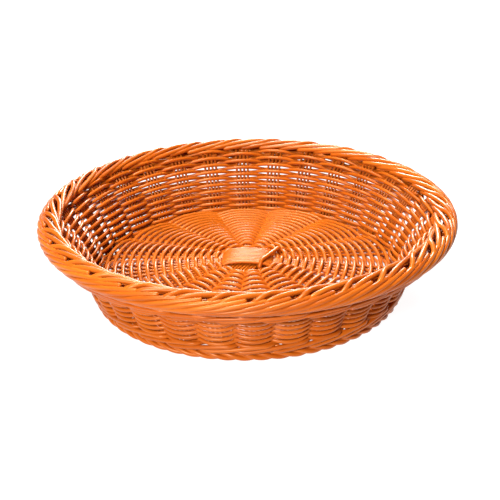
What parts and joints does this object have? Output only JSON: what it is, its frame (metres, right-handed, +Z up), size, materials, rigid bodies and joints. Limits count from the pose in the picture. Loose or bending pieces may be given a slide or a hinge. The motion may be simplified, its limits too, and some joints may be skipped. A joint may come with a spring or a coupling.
{
  "type": "woven wicker basket",
  "caption": "Round shallow basket with a domed woven base, a flared wall of grouped stakes and weavers, a rolled rim border and a rope foot.",
  "frame": {"origin": "centre of the foot's resting face, on the table", "axes": "+Z up along the basket's axis; +X and +Y lie along the table, with +Y away from the usual viewer"},
  "size_m": [0.3999, 0.4, 0.086],
  "materials": {
    "weavers": "satin extruded strand with fine lengthwise grain",
    "borders": "satin extruded strand with fine lengthwise grain",
    "base_stakes": "satin extruded strand",
    "side_stakes": "satin extruded strand",
    "slath": "satin extruded strand"
  },
  "bodies": {
    "root": {"slath_top_bundle": "slath", "slath_middle_bundle": "slath", "slath_bottom_bundle": "slath", "slath_binding": "slath", "base_weave": "weavers", "foot_border": "borders", "foot_wale": "weavers", "wall_weave": "weavers", "upper_wale": "weavers", "rim_border": "borders", "base_stakes_01": "base_stakes", "base_stakes_02": "base_stakes", "base_stakes_03": "base_stakes", "base_stakes_04": "base_stakes", "base_stakes_05": "base_stakes", "base_stakes_06": "base_stakes", "base_stakes_07": "base_stakes", "base_stakes_08": "base_stakes", "base_stakes_09": "base_stakes", "base_stakes_10": "base_stakes", "base_stakes_11": "base_stakes", "base_stakes_12": "base_stakes", "base_stakes_13": "base_stakes", "base_stakes_14": "base_stakes", "base_stakes_15": "base_stakes", "side_stakes_01": "side_stakes", "side_stakes_02": "side_stakes", "side_stakes_03": "side_stakes", "side_stakes_04": "side_stakes", "side_stakes_05": "side_stakes", "side_stakes_06": "side_stakes", "side_stakes_07": "side_stakes", "side_stakes_08": "side_stakes", "side_stakes_09": "side_stakes", "side_stakes_10": "side_stakes", "side_stakes_11": "side_stakes", "side_stakes_12": "side_stakes", "side_stakes_13": "side_stakes", "side_stakes_14": "side_stakes", "side_stakes_15": "side_stakes", "side_stakes_16": "side_stakes", "side_stakes_17": "side_stakes", "side_stakes_18": "side_stakes", "side_stakes_19": "side_stakes", "side_stakes_20": "side_stakes", "side_stakes_21": "side_stakes", "side_stakes_22": "side_stakes", "side_stakes_23": "side_stakes", "side_stakes_24": "side_stakes", "side_stakes_25": "side_stakes", "side_stakes_26": "side_stakes", "side_stakes_27": "side_stakes", "side_stakes_28": "side_stakes", "side_stakes_29": "side_stakes", "side_stakes_30": "side_stakes"}
  },
  "joints": []
}
